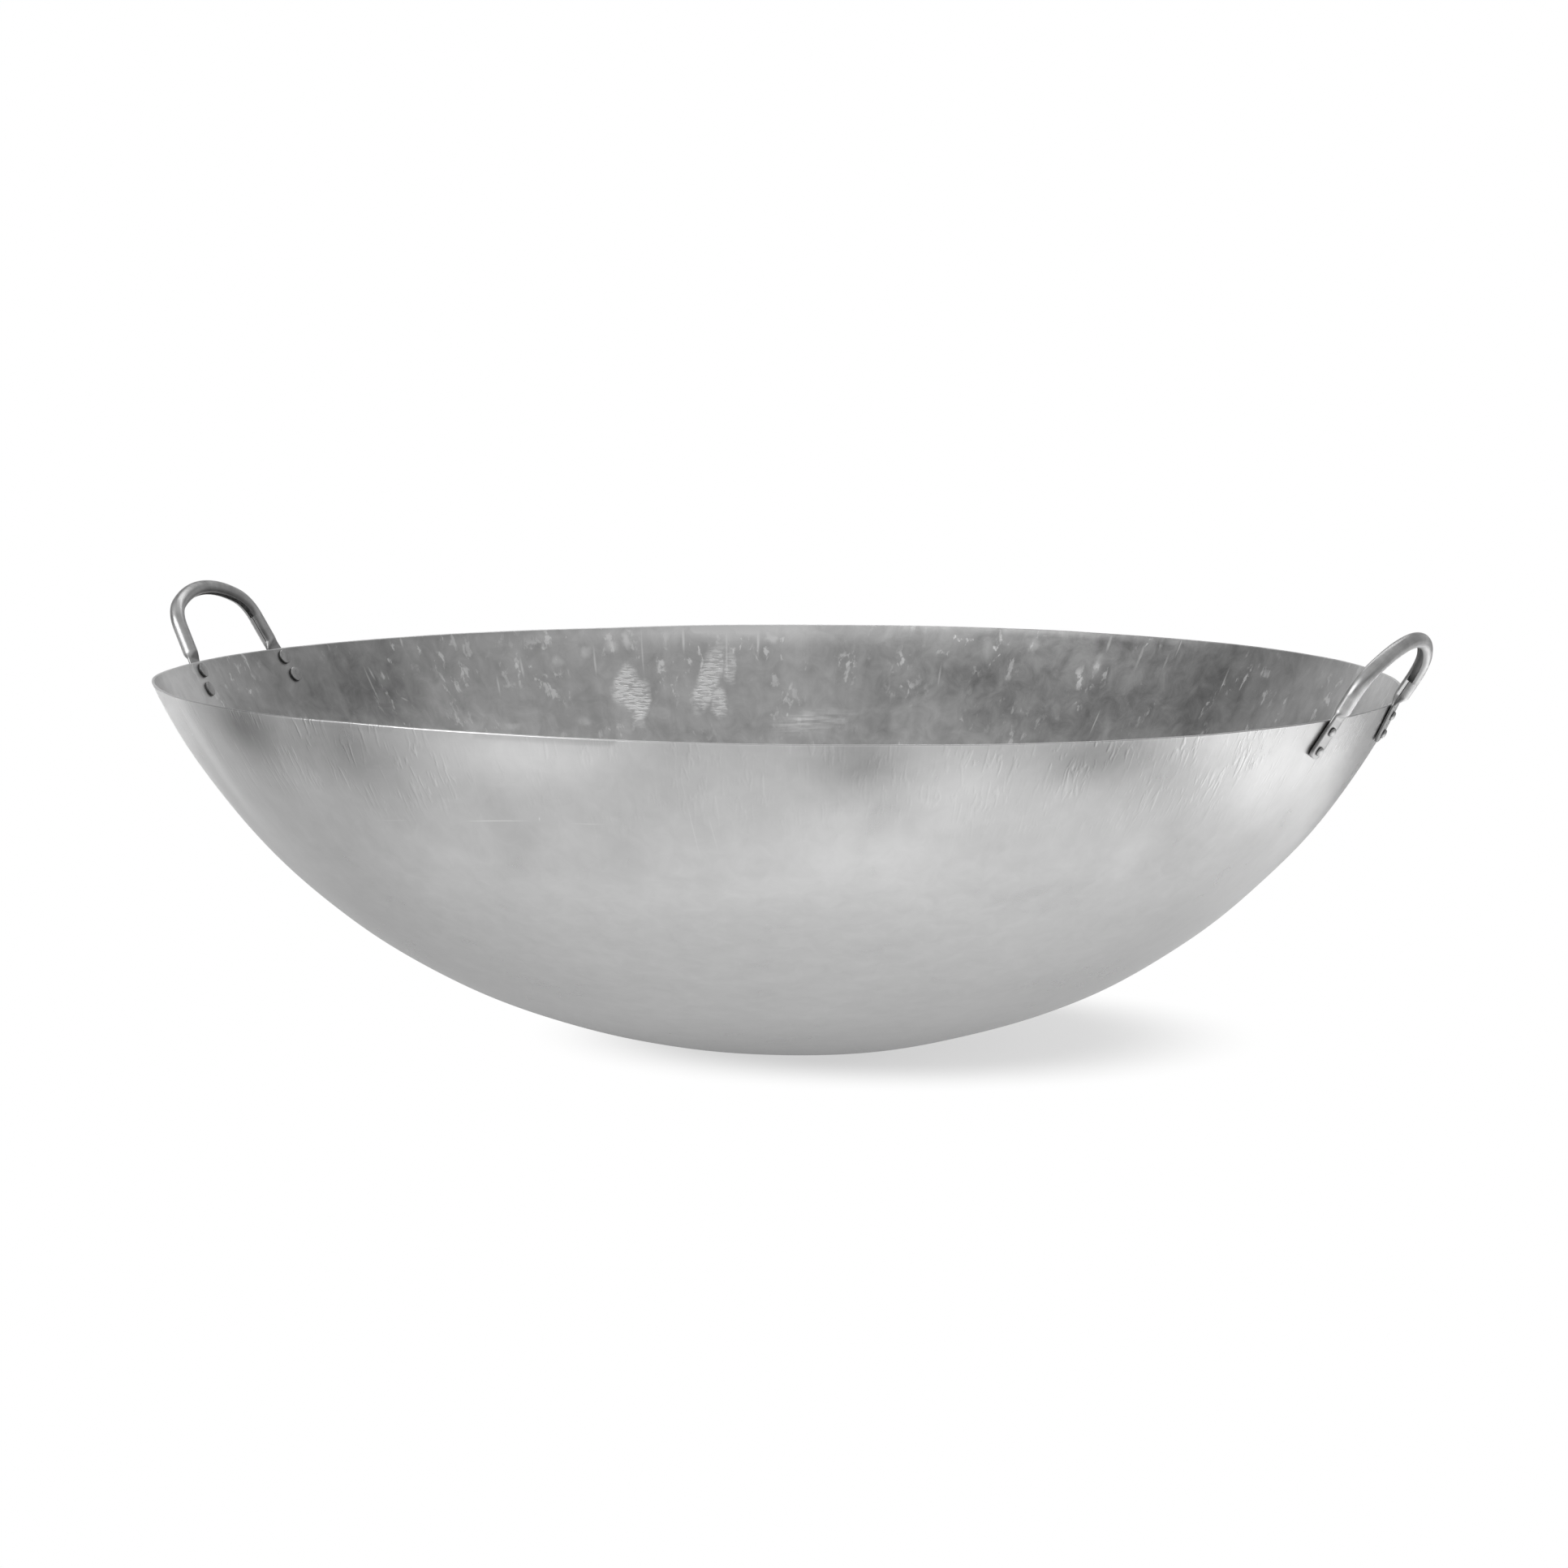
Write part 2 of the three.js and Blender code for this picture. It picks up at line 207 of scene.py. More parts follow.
def foot_frame(front):
    """Where a handle's foot lies on the wall: front is -1 for the foot at -Y and 1 for the one at +Y."""
    slope = RIM_SLOPE - FOOT_DROP * math.cos(FOOT_SPLAY) / SIDE_RADIUS
    r, z = (float(v) for v in meridian(np.array(slope), 0))
    bearing = math.asin(front * (HANDLE_SPAN / 2 + FOOT_DROP * math.sin(FOOT_SPLAY)) / r)
    level = np.array([math.cos(bearing), math.sin(bearing), 0])
    out = math.sin(slope) * level - np.array([0, 0, math.cos(slope)])
    rise = math.cos(FOOT_SPLAY)
    along = np.array([math.cos(slope) * rise, -front * math.sin(FOOT_SPLAY), math.sin(slope) * rise])
    up = unit(along - (along @ out) * out)
    inwards = front * np.cross(out, up)
    origin = np.array([r * level[0], r * level[1], z])
    return {"origin": origin, "out": out, "up": up, "inwards": inwards, "slope": slope}


FEET = {"front": foot_frame(-1), "back": foot_frame(1)}


TRUE_WALL = 26.0  # the wall is true this far round a foot
WAVED_WALL = 70.0  # and fully waved from here on


def foot_clearance(points):
    """1 over most of the wall and 0 round every foot, so that the wall stays true where one is riveted."""
    foot = np.abs(FEET["back"]["origin"])
    level = np.linalg.norm(np.abs(points[..., :2]) - foot[:2], axis=-1)
    return smoothstep(TRUE_WALL, WAVED_WALL, np.hypot(level, points[..., 2] - foot[2]))


WAVE_COUNT = 48
WAVE_LENGTHS = (55, 190)
WAVE_HEIGHT = 0.075  # of a wave of the middle length
MIDDLE_WAVE = 120


def undulation(points):
    """The long waves that beating leaves in the sheet: a sum of cosines of random direction, length and
    phase, over the point's place, in millimetres along the wall's normal."""
    height = np.zeros(points.shape[:-1])
    for _ in range(WAVE_COUNT):
        length = rng.uniform(*WAVE_LENGTHS)
        wave = unit(rng.normal(size=3)) * 2 * math.pi / length
        height += (length / MIDDLE_WAVE) ** 1.6 * np.cos(points @ wave + rng.uniform(0, 2 * math.pi))
    return WAVE_HEIGHT * height


BOWL_COLUMNS = 480
SKIN_ROWS = 97
CYLINDER_DEPTH = 110.0  # how far down the wall the patterns keep the rim's scale

# Patches of painted shade and painted reflection, darker and lighter: bearing in degrees, millimetres below
# the rim, half width, half height and strength
OUTSIDE_PAINTED_LIGHT_PATCHES = [
    (-145.0, 14, 14, 24, 0.25),
    (-133.0, 40, 16, 70, 0.22),
    (-120.0, 13, 48, 26, -0.36),
    (-107.4, 22, 38, 28, -0.15),
    (-102.6, 57, 28, 30, -0.08),
    (-88.5, 12, 62, 26, 0.37),
    (-58.5, 15, 30, 24, -0.28),
    (-57.0, 88, 52, 34, 0.12),
    (-49.0, 27, 40, 26, 0.16),
    (-37.5, 13, 48, 20, -0.24),
    (-18.0, 55, 45, 36, 0.05),
    (2.0, 75, 120, 70, -0.16),
]
INSIDE_PAINTED_LIGHT_PATCHES = [
    (-164, 15, 80, 50, 0.42),
    (161, 45, 95, 50, -0.28),
    (36, 12, 100, 40, 0.45),
    (76, 55, 120, 65, -0.27),
    (65, 38, 50, 60, -0.2),
    (77, 5, 45, 16, -0.24),
    (96, 55, 90, 60, -0.08),
    (91, 40, 45, 45, -0.14),
    (119, 3, 130, 12, 0.55),
]
LOWER_WALL_PAINTED_SHADE = -0.075  # painted shade of the outside, low down
LOWER_WALL_START = (110, 200)
LOWER_WALL_END = (250, 340)
HANDLE_SECTOR = (0.16, 0.5)  # sines of the bearing between which the rim's lift sets in


def soft_patch(bearing, below, radius, at_bearing, at_below, half_width, half_height, strength):
    """A patch on the wall that fades as a bell curve with the distance round and down from its middle."""
    turn = (bearing - math.radians(at_bearing) + math.pi) % (2 * math.pi) - math.pi
    across = turn[None, :] * radius / half_width
    down = (below[:, None] - at_below) / half_height
    return strength * np.exp(-(across**2) - down**2)


def bowl(material):
    """The bowl turned about Z: a profile of both skins, from the bottom's pole over the filed rim and back,
    at equal bearings, moved along the wall's normal by the undulation. The rim is then lifted by the square
    of a sine of the bearing and the bottom shifted by the square of the depth below the rim."""
    skins, slopes = [], []
    for inset in (0, WALL):
        top = math.acos((SIDE_Z - DEPTH + RIM_EDGE) / (SIDE_RADIUS - inset))
        slope = np.linspace(0, top, SKIN_ROWS + 1)[1:]
        skins.append(np.stack(meridian(slope, inset), axis=-1))
        slopes.append(slope)
    outer, inner = skins
    turn = np.radians([30, 60, 90])
    filed = RIM_EDGE * np.stack([1 - np.cos(turn), np.sin(turn) - 1], axis=-1)
    rim = np.concatenate(
        [
            [outer[-1, 0], DEPTH] + filed * [-1, 1],
            ([inner[-1, 0], DEPTH] + filed)[::-1],
        ]
    )
    profile = np.concatenate([outer, rim, inner[::-1]])
    slope = np.concatenate([slopes[0], np.full(len(rim), RIM_SLOPE), slopes[1][::-1]])
    bearing = np.arange(BOWL_COLUMNS) * 2 * math.pi / BOWL_COLUMNS
    cos, sin = np.cos(bearing)[None, :], np.sin(bearing)[None, :]
    r, z = profile[:, :1], np.broadcast_to(profile[:, 1:], (len(profile), BOWL_COLUMNS))
    points = np.stack([r * cos, r * sin, z], axis=-1)
    steep, flat = np.sin(slope)[:, None], np.cos(slope)[:, None]
    normal = np.stack([steep * cos, steep * sin, -flat + 0 * cos], axis=-1)
    inset = np.concatenate([np.zeros(len(outer) + 3), np.full(len(inner) + 3, WALL)])
    sheet = points + normal * inset[:, None, None]
    clear = foot_clearance(sheet)
    off_axis = np.hypot(sheet[..., 0], sheet[..., 1])
    base = smoothstep(BASE_FLAT_DIAMETER / 2, BASE_FLAT_DIAMETER, off_axis)
    points = points + normal * (undulation(sheet) * clear * base)[..., None]

    height = np.clip(z / DEPTH, 0, 1)
    between_handles = smoothstep(*HANDLE_SECTOR, np.abs(sin))
    rise = np.sin(bearing - RIM_LIFT_BEARING)[None, :] ** 2
    lift = RIM_LIFT * rise * between_handles * height**3
    shift = BELLY_SHIFT * (1 - height) ** 2
    points[..., 0] += shift * math.cos(VIEW_BEARING)
    points[..., 1] += shift * math.sin(VIEW_BEARING)
    points[..., 2] += lift
    rows = len(profile)
    poles = np.stack([points[0].mean(axis=0), points[-1].mean(axis=0)])
    count = rows * BOWL_COLUMNS
    faces = [
        grid_faces(rows, BOWL_COLUMNS),
        fan_faces(0, BOWL_COLUMNS, count, False),
        fan_faces(count - BOWL_COLUMNS, BOWL_COLUMNS, count + 1, True),
    ]
    vertices = np.concatenate([points.reshape(-1, 3), poles])
    made = piece("beaten_bowl", vertices, faces, material, "bowl")

    # For the material: the unrolled wall, as a cylinder that is as wide as the rim and turns into a cone
    # down to the bottom's middle, then the skin's side and its patches of painted shade and painted
    # reflection.
    below = (RIM_SLOPE - slope) * SIDE_RADIUS
    pole = RIM_SLOPE * SIDE_RADIUS
    wide = RIM_DIAMETER / 2 * np.minimum((pole - below) / (pole - CYLINDER_DEPTH), 1)[:, None]
    rolled = np.stack([wide * cos, wide * sin, below[:, None] + 0 * cos], -1)
    ends = np.array([[0, 0, pole], [0, 0, pole]])
    point_attribute(made, "wall", np.concatenate([rolled.reshape(-1, 3), ends]) * MM)
    inside = np.repeat(np.where(inset > 0, 1.0, 0.0), BOWL_COLUMNS)
    point_attribute(made, "inside", np.concatenate([inside, [0, 1]]))
    # Patches of painted shade and painted reflection, darker or lighter, for the material to add to the
    # steel's colour.
    painted_shade_and_reflection = np.zeros((rows, BOWL_COLUMNS))
    for skin, marks in ((0, OUTSIDE_PAINTED_LIGHT_PATCHES), (1, INSIDE_PAINTED_LIGHT_PATCHES)):
        shade = sum(soft_patch(bearing, below, r, *mark_at) for mark_at in marks)
        painted_shade_and_reflection += shade * ((inset > 0) == bool(skin))[:, None]
    # Painted shade low down on the outside.
    lower_wall = smoothstep(*LOWER_WALL_START, below) * (1 - 0.7 * smoothstep(*LOWER_WALL_END, below))
    painted_shade_and_reflection += LOWER_WALL_PAINTED_SHADE * (lower_wall * (inset == 0))[:, None]
    point_attribute(made, "painted_shade_and_reflection", np.concatenate([painted_shade_and_reflection.ravel(), [0, 0]]))
    return made


# Handles
FOOT_EDGE_BREAK = 0.35  # how much thinner a foot is at its very end
PRESSED_GAP = 0.12  # half the gap of a seam that is pressed shut
LAST_LEG_RUN = 0.6  # of a leg, before its slot
STEP = 0.05  # over which the seam opens into the slot


def stadium(a, b, share):
    """Points of a flat-sided ring with round ends, half sizes a along x and b along y, at a share of its
    length from (a, 0): a half circle, a straight, a half circle and a straight."""
    flat = a - b
    length = 2 * math.pi * b + 4 * flat
    way = share * length
    half = np.where(way <= length / 2, way, length - way)
    bend = math.pi / 2 * b
    angle = np.where(half < bend, half / b, (half - 2 * flat) / b)
    straight = (half >= bend) & (half <= bend + 2 * flat)
    side = np.where(half < bend, 1, -1)
    x = np.where(straight, flat + bend - half, side * flat + b * np.cos(angle))
    y = np.where(straight, b, b * np.sin(angle))
    return x, np.where(way <= length / 2, y, -y)


def half_loop(bend):
    """Stations of a handle from the front foot's end to the middle of the grip, each with its centre, its
    directions to the loop's inside and out of the bowl, its half sizes and half the width of its gap."""
    foot = FEET["front"]
    splay, corner_radius, grip_radius = bend["splay"], bend["corner"], bend["grip"]
    rim = foot["origin"] + FOOT_DROP * foot["up"] + (SEAT + FOOT_THICKNESS / 2) * foot["out"]
    slope = foot["slope"] - bend["lean"]
    up = np.array([math.cos(slope), 0, math.sin(slope)])
    out = np.array([math.sin(slope), 0, -math.cos(slope)])
    across = np.array([0, 1, 0])

    # The foot: its end narrows along a quarter circle at each corner, and its edge is broken.
    turn = np.linspace(0.12, math.pi / 2, 9)
    end_up = -FOOT_LENGTH / 2 + FOOT_CORNER * (1 - np.cos(turn))
    end_half = FOOT_WIDTH / 2 - FOOT_CORNER * (1 - np.sin(turn))
    rest_up = np.linspace(end_up[-1], FOOT_LENGTH / 2, 12)[1:]
    foot_up = np.concatenate([end_up, rest_up])
    foot_half = np.concatenate([end_half, np.full(len(rest_up), FOOT_WIDTH / 2)])
    thick = np.full(len(foot_up), FOOT_THICKNESS / 2)
    thick[0] -= FOOT_EDGE_BREAK
    level = SEAT + FOOT_THICKNESS / 2
    foot_centre = foot["origin"] + foot_up[:, None] * foot["up"] + level * foot["out"]

    # The loop in its own plane, w across and u up: a leg, a bend and half the grip.
    leg = np.array([math.sin(splay), math.cos(splay)])
    inside = np.array([leg[1], -leg[0]])
    leg_foot = np.array([rim[1], 0])
    grip_centre = np.array([0, bend["rise"] - grip_radius])
    start = leg_foot + corner_radius * inside - grip_centre
    reach = (grip_radius - corner_radius) ** 2 - start @ start + (start @ leg) ** 2
    leg_length = math.sqrt(reach) - start @ leg
    corner_centre = leg_foot + corner_radius * inside + leg_length * leg
    grip_end = math.atan2(*(corner_centre - grip_centre)[::-1])

    leg_run = np.linspace(FOOT_RISE + FLATTENING, leg_length - LAST_LEG_RUN, 7)
    leg_way = np.concatenate([leg_run, [leg_length - STEP]])
    leg_at = leg_foot + leg_way[:, None] * leg
    corner = np.linspace(math.pi - splay, grip_end, 28)
    corner_ray = np.stack([np.cos(corner), np.sin(corner)], axis=-1)
    corner_at = corner_centre + corner_radius * corner_ray
    grip = np.linspace(grip_end, math.pi / 2, 22)[1:]
    grip_ray = np.stack([np.cos(grip), np.sin(grip)], axis=-1)
    grip_at = grip_centre + grip_radius * grip_ray
    at = np.concatenate([leg_at, corner_at, grip_at])
    inwards = np.concatenate([np.repeat(inside[None], len(leg_at), 0), -corner_ray, -grip_ray])
    slot = np.full(len(corner_at) + len(grip_at), bend["slot"] / 2)
    gap = np.concatenate([np.full(len(leg_at), SEAM / 2), slot])
    origin = np.array([rim[0], 0, rim[2]])
    loop_centre = origin + at[:, :1] * across + at[:, 1:] * up
    loop_inwards = inwards[:, :1] * across + inwards[:, 1:] * up

    # Between them the tube is pressed flat: a cubic curve from the foot's top to the leg.
    t = np.linspace(0, 1, 12)[1:-1, None]
    pull = 0.8 * FLATTENING
    legwise = leg[0] * across + leg[1] * up
    neck_centre = (
        (2 * t**3 - 3 * t**2 + 1) * foot_centre[-1]
        + (t**3 - 2 * t**2 + t) * pull * foot["up"]
        + (3 * t**2 - 2 * t**3) * loop_centre[0]
        + (t**3 - t**2) * pull * legwise
    )
    share = smoothstep(0, 1, t)
    neck_inwards = unit((1 - share) * foot["inwards"] + share * loop_inwards[0])
    neck_out = unit((1 - share) * foot["out"] + share * out)
    neck_half = (1 - share[:, 0]) * FOOT_WIDTH / 2 + share[:, 0] * TUBE_RADIUS
    neck_thick = (1 - share[:, 0]) * FOOT_THICKNESS / 2 + share[:, 0] * TUBE_RADIUS

    count = len(at)
    foot_inwards = np.repeat(foot["inwards"][None], len(foot_up), 0)
    foot_out = np.repeat(foot["out"][None], len(foot_up), 0)
    return {
        "centre": np.concatenate([foot_centre, neck_centre, loop_centre]),
        "inwards": np.concatenate([foot_inwards, neck_inwards, loop_inwards]),
        "out": np.concatenate([foot_out, neck_out, np.repeat(out[None], count, 0)]),
        "half": np.concatenate([foot_half, neck_half, np.full(count, TUBE_RADIUS)]),
        "thick": np.concatenate([thick, neck_thick, np.full(count, TUBE_RADIUS)]),
        "gap": np.concatenate([np.full(len(foot_up) + len(t), PRESSED_GAP), gap]),
    }


SECTION_POINTS = 40
SEAM_PAINTED_SHADE = (1.5, 6.0)  # millimetres from a lip between which the painted shade fades


def handle_rings(loop):
    """Sections of the bent sheet at the stations: its outer skin round the tube from one lip of the gap to
    the other, then its inner skin back, where the two lips of the gap are level with each other."""
    a, b, gap = (loop[key][:, None] for key in ("half", "thick", "gap"))
    share = np.linspace(0, 1, SECTION_POINTS)[None, :]
    skins = []
    for inset in (0, TUBE_WALL):
        skin_a, skin_b = np.maximum(a - inset, 0.1), np.maximum(b - inset, 0.05)
        lip = skin_b * np.arcsin(np.minimum(gap / skin_b, 0.95))
        length = 2 * math.pi * skin_b + 4 * (skin_a - skin_b)
        first = lip / length
        skins.append(np.stack(stadium(skin_a, skin_b, first + share * (1 - 2 * first)), axis=-1))
    section = np.concatenate([skins[0], skins[1][:, ::-1]], axis=1)
    return (
        loop["centre"][:, None]
        + section[..., :1] * loop["inwards"][:, None]
        + section[..., 1:] * loop["out"][:, None]
    )


def handle(name, bend, turned, material):
    """One handle: the half loop and its mirror image in Y, as one skinned tube with its two cut ends."""
    half = handle_rings(half_loop(bend))
    mirrored = half[-2::-1] * np.array([1, -1, 1])
    rings = np.concatenate([half, mirrored]) * np.array([turned, turned, 1])
    rows, columns = rings.shape[:2]
    faces = [
        grid_faces(rows, columns),
        strip_faces(0, columns, False),
        strip_faces((rows - 1) * columns, columns, True),
    ]
    made = piece(f"rolled_{name}", rings.reshape(-1, 3), faces, material, name, 35)
    middle = rings.mean(axis=1)
    way = np.concatenate([[0], np.cumsum(np.linalg.norm(np.diff(middle, axis=0), axis=1))])
    round_tube = np.linspace(0, 2 * math.pi, columns, endpoint=False)
    ribbon = np.stack(
        [
            TUBE_RADIUS * np.cos(round_tube)[None, :] + 0 * way[:, None],
            TUBE_RADIUS * np.sin(round_tube)[None, :] + 0 * way[:, None],
            way[:, None] + 0 * round_tube[None, :],
        ],
        axis=-1,
    )
    point_attribute(made, "along", ribbon.reshape(-1, 3) * MM)
    hollow = np.concatenate([np.zeros(columns // 2), np.ones(columns // 2)])
    point_attribute(made, "hollow", np.tile(hollow, rows))
    from_end = np.minimum(way, way[-1] - way)
    pressed = 1 - smoothstep(FOOT_LENGTH, FOOT_LENGTH + FLATTENING, from_end)
    point_attribute(made, "pressed", np.repeat(pressed, columns))
    # Painted shade along both lips of the seam, on the outer skin.
    share = np.linspace(0, 1, SECTION_POINTS)
    from_lip = np.minimum(share, 1 - share) * 2 * math.pi * TUBE_RADIUS
    painted_crevice_shade = np.concatenate([1 - smoothstep(*SEAM_PAINTED_SHADE, from_lip), np.zeros(SECTION_POINTS)])
    point_attribute(made, "painted_crevice_shade", np.tile(painted_crevice_shade, rows))
    return made


# Rivets
RIVET_SIDES = 40
POLE_RADIUS = 0.05


def dome(start, control, end, steps):
    """A quadratic curve between two points of a profile."""
    t = np.linspace(0, 1, steps)[:, None]
    return (1 - t) ** 2 * np.array(start) + 2 * t * (1 - t) * np.array(control) + t**2 * np.array(end)


def rivet(name, foot, drop, turned, material):
    """One rivet turned about its axis, which is square to the wall: a broad low head inside the bowl, the
    shank, and a small head closed over the foot. Heights run out from the foot's plane."""
    up = FOOT_DROP - drop
    centre = foot["origin"] + up * foot["up"]
    sag = math.hypot(math.hypot(centre[0], centre[1]) - SIDE_R, centre[2] - SIDE_Z) - SIDE_RADIUS
    inner_seat = -sag - WALL - SEAT / 3
    outer_seat = FOOT_THICKNESS + SEAT + SEAT / 3
    inner, outer = INNER_HEAD["diameter"] / 2, OUTER_HEAD["diameter"] / 2
    shank = SHANK_DIAMETER / 2
    inner_top = inner_seat - INNER_HEAD["height"]
    outer_top = outer_seat + OUTER_HEAD["height"]
    edge = inner_seat - INNER_HEAD["edge"]
    crown = dome([POLE_RADIUS, inner_top], [inner / 2, inner_top], [inner - 0.5, edge - 0.35], 9)
    shoulder = dome(crown[-1], [inner, edge - 0.3], [inner, edge], 6)[1:]
    inner_dome = np.concatenate([crown, shoulder])
    outer_edge = [outer, outer_seat + OUTER_HEAD["edge"]]
    outer_dome = dome(outer_edge, [outer, outer_top], [POLE_RADIUS, outer_top], 14)
    neck = [[inner, inner_seat], [shank, inner_seat], [shank, outer_seat], [outer, outer_seat]]
    profile = np.concatenate([inner_dome, neck, outer_dome])
    sides = RIVET_SIDES
    angle = np.arange(sides) * 2 * math.pi / sides
    sideways = np.cross(foot["out"], foot["inwards"])
    ray = np.cos(angle)[:, None] * foot["inwards"] + np.sin(angle)[:, None] * sideways
    points = centre + profile[:, :1, None] * ray[None] + profile[:, 1:, None] * foot["out"]
    points = points * np.array([turned, turned, 1])
    hubs = np.stack([points[0].mean(axis=0), points[-1].mean(axis=0)])
    count = len(profile) * sides
    faces = [
        grid_faces(len(profile), sides),
        fan_faces(0, sides, count, False),
        fan_faces(count - sides, sides, count + 1, True),
    ]
    vertices = np.concatenate([points.reshape(-1, 3), hubs])
    made = piece(f"turned_{name}", vertices, faces, material, name, 50)
    # Painted shade round both heads: up the side of the inner one, and at the foot of the outer one.
    inner_crevice_shade = 1 - smoothstep(1.2, 1.9, inner_seat - profile[:, 1])
    outer_crevice_shade = 1 - smoothstep(0.1, 0.8, profile[:, 1] - outer_seat)
    painted_crevice_shade = np.repeat(np.where(profile[:, 1] < 0, inner_crevice_shade, outer_crevice_shade), sides)
    point_attribute(made, "painted_crevice_shade", np.concatenate([painted_crevice_shade, [0, 0]]))
    return made


# Materials
def add(tree, kind, settings=None, inputs=None):
    """Adds one node: settings are its own properties, and an input is a value, a socket to link from, or a
    node, whose first output is linked."""
    made = tree.nodes.new(kind)
    for key, value in (settings or {}).items():
        setattr(made, key, value)
    for key, value in (inputs or {}).items():
        source = value.outputs[0] if isinstance(value, bpy.types.Node) else value
        if isinstance(source, bpy.types.NodeSocket):
            tree.links.new(source, made.inputs[key])
        else:
            made.inputs[key].default_value = source
    return made


def calc(tree, operation, *values):
    """A number worked out from others."""
    return add(tree, "ShaderNodeMath", {"operation": operation}, dict(enumerate(values)))


def vector(tree, operation, *values):
    """A vector worked out from others."""
    return add(tree, "ShaderNodeVectorMath", {"operation": operation}, dict(enumerate(values)))


def measure(tree, operation, *values):
    """A number worked out from vectors, such as a length or a distance."""
    return vector(tree, operation, *values).outputs["Value"]


def ramp(tree, value, low, high, start=0.0, end=1.0, kind="SMOOTHSTEP"):
    """Start where the value is low, end where it is high, and a smooth or a linear way between them."""
    return add(
        tree,
        "ShaderNodeMapRange",
        {"interpolation_type": kind},
        {"Value": value, "From Min": low, "From Max": high, "To Min": start, "To Max": end},
    )


def pattern_scale(size):
    """A texture's scale for features of this many millimetres, on coordinates in metres."""
    return 1 / (size * MM)


def noise(tree, place, size, detail, roughness=0.5, distortion=0.0):
    """Cloudy noise with features of this many millimetres."""
    return add(
        tree,
        "ShaderNodeTexNoise",
        inputs={
            "Vector": place,
            "Scale": pattern_scale(size),
            "Detail": detail,
            "Roughness": roughness,
            "Distortion": distortion,
        },
    )


def stored(tree, name, field="Fac"):
    """What the mesh stores for each vertex under this name."""
    return add(tree, "ShaderNodeAttribute", {"attribute_name": name}).outputs[field]


def between(tree, share, first, second):
    """A number between two others."""
    return add(tree, "ShaderNodeMix", inputs={0: share, 2: first, 3: second})


def tinted(tree, share, first, second):
    """A colour between two others, each a hex value or a socket."""
    ends = [linear(end) if isinstance(end, str) else end for end in (first, second)]
    return add(tree, "ShaderNodeMix", {"data_type": "RGBA"}, {0: share, 6: ends[0], 7: ends[1]}).outputs[2]


def summed(tree, start, parts):
    """A start value plus each part times its weight."""
    total = start
    for part, weight in parts:
        total = calc(tree, "MULTIPLY_ADD", part, weight, total)
    return total


def blended(tree, operation, parts):
    """One number from several by repeating an operation, such as their product or the greatest of them."""
    total = parts[0]
    for part in parts[1:]:
        total = calc(tree, operation, total, part)
    return total


def new_material(name):
    material = bpy.data.materials.new(name)
    material.use_nodes = True
    tree = material.node_tree
    tree.nodes.clear()
    return material, tree


def bare_metal(tree, colour, gloss, height, relief):
    """The metal itself, with its colour, its roughness and a relief of this many millimetres."""
    bump = add(tree, "ShaderNodeBump", inputs={"Strength": 1.0, "Distance": relief * MM, "Height": height})
    surface = add(
        tree,
        "ShaderNodeBsdfPrincipled",
        inputs={"Base Color": colour, "Metallic": 1.0, "Roughness": gloss, "Normal": bump},
    )
    add(tree, "ShaderNodeOutputMaterial", inputs={"Surface": surface})


def mark(tree, sheet, bearing, below, half_width, half_height, lean=0.0, strength=1.0, soft=0.5):
    """A mark on the unrolled wall: its strength within an ellipse and 0 outside it. The ellipse stands at a
    bearing in degrees and some millimetres below the rim, and leans from the meridian by some degrees."""
    place = (math.radians(bearing) * RIM_DIAMETER / 2 * MM, below * MM, 0)
    local = add(
        tree,
        "ShaderNodeMapping",
        {"vector_type": "TEXTURE"},
        {
            "Vector": sheet,
            "Location": place,
            "Rotation": (0, 0, -math.radians(lean)),
            "Scale": (half_width * MM, half_height * MM, 1),
        },
    )
    return ramp(tree, measure(tree, "LENGTH", local), 1.0, 1 - soft, 0.0, strength)


# Each mark has its bearing, its place below the rim, its half width and half length, its lean and its
# strength.
# Bands inside, where a hammer was drawn down
RUBBED_BANDS = [
    (131.0, 52, 13, 23, 22, 1.0),
    (129.5, 69, 9.5, 26, 16, 1.0),
    (130.2, 60, 11, 20, 18, 1.0),
    (121.9, 48, 12, 38, 22, 1.0),
    (119.5, 39, 7, 18, 0, 0.6),
    (120.9, 68, 8.5, 17, 5, 0.8),
]
# Thin pale runs and scratches inside
PALE_RUNS = [
    (133.8, 30, 1.5, 17, 4, 0.8),
    (128.6, 24, 1.1, 25, 3, 0.6),
    (124.2, 14, 1.5, 14, 2, 0.9),
    (119.8, 27, 1.1, 28, 2, 0.6),
    (116.5, 17, 1.5, 14, 2, 0.9),
    (97.2, 42, 1.3, 12, 0, 0.6),
    (77.8, 76, 1.1, 14, 4, 0.9),
    (71.6, 20, 1.6, 9, 4, 0.4),
    (70.5, 7, 1.2, 11, 6, 0.5),
    (62.8, 30, 1.2, 13, 2, 0.9),
    (157.4, 54, 1.1, 5, -60, 0.7),
    (161.0, 38, 1.4, 22, -4, 0.7),
    (160.4, 30, 1.6, 8, -12, 0.9),
    (155.3, 5, 1.6, 6, 0, 0.9),
    (145.2, 47, 1.4, 11, 6, 0.7),
    (142.0, 33, 1.6, 12, 2, 0.8),
    (79.1, 9, 2.0, 9, 4, 0.6),
    (75.0, 18, 2.2, 14, 6, 0.5),
]
